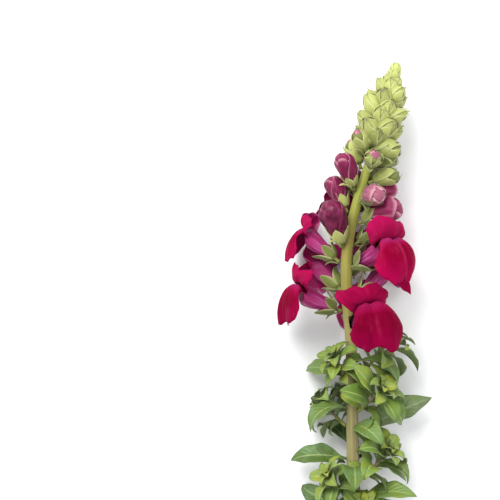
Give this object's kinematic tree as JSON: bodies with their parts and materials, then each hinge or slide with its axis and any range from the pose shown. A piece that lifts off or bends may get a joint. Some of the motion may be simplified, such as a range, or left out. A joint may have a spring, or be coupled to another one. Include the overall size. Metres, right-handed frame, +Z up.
{
  "type": "snapdragon stem",
  "caption": "Single cut snapdragon stem lying on its side: leafy stalk with side shoots, a raceme of two-lipped florets, coloured buds and a green bud tip.",
  "frame": {"origin": "middle of the footprint, on the surface that the stem lies on", "axes": "+Y along the stem towards the tip of the spike, +Z up, +X to the right of the stem seen from above with the tip at the top"},
  "size_m": [0.1002, 0.4496, 0.0698],
  "materials": {
    "stem": "matte",
    "green_bud": "matte",
    "sepal": "matte",
    "petal": "matte",
    "bud": "satin",
    "leaf": "satin",
    "young_leaf": "satin"
  },
  "bodies": {
    "root": {"main_stem": "stem", "spike_tip": "green_bud", "calyx_01": "sepal", "calyx_02": "sepal", "calyx_03": "sepal", "calyx_04": "sepal", "calyx_05": "sepal", "calyx_06": "sepal", "calyx_07": "sepal", "calyx_08": "sepal", "calyx_09": "sepal", "calyx_10": "sepal", "corolla_01": "petal", "corolla_02": "petal", "corolla_03": "petal", "corolla_04": "petal", "corolla_05": "petal", "corolla_06": "petal", "corolla_07": "petal", "corolla_08": "petal", "corolla_09": "petal", "corolla_10": "petal", "bud_01": "bud", "bud_02": "bud", "bud_03": "bud", "bud_04": "bud", "bud_05": "bud", "bud_06": "bud", "bud_07": "bud", "bud_08": "bud", "bud_09": "green_bud", "bud_10": "green_bud", "bud_11": "green_bud", "bud_12": "green_bud", "bud_13": "green_bud", "bud_14": "green_bud", "bud_15": "green_bud", "leaf_01": "leaf", "leaf_02": "leaf", "leaf_03": "leaf", "leaf_04": "leaf", "leaf_05": "leaf", "leaf_06": "leaf", "leaf_07": "leaf", "leaf_08": "leaf", "leaf_09": "leaf", "leaf_10": "leaf", "leaf_11": "leaf", "leaf_12": "leaf", "leaf_13": "leaf", "leaf_14": "leaf", "leaf_15": "leaf", "leaf_16": "leaf", "shoot_01": "young_leaf", "shoot_02": "young_leaf", "shoot_03": "young_leaf", "shoot_04": "young_leaf", "shoot_05": "young_leaf", "shoot_06": "young_leaf", "shoot_07": "young_leaf"}
  },
  "joints": []
}
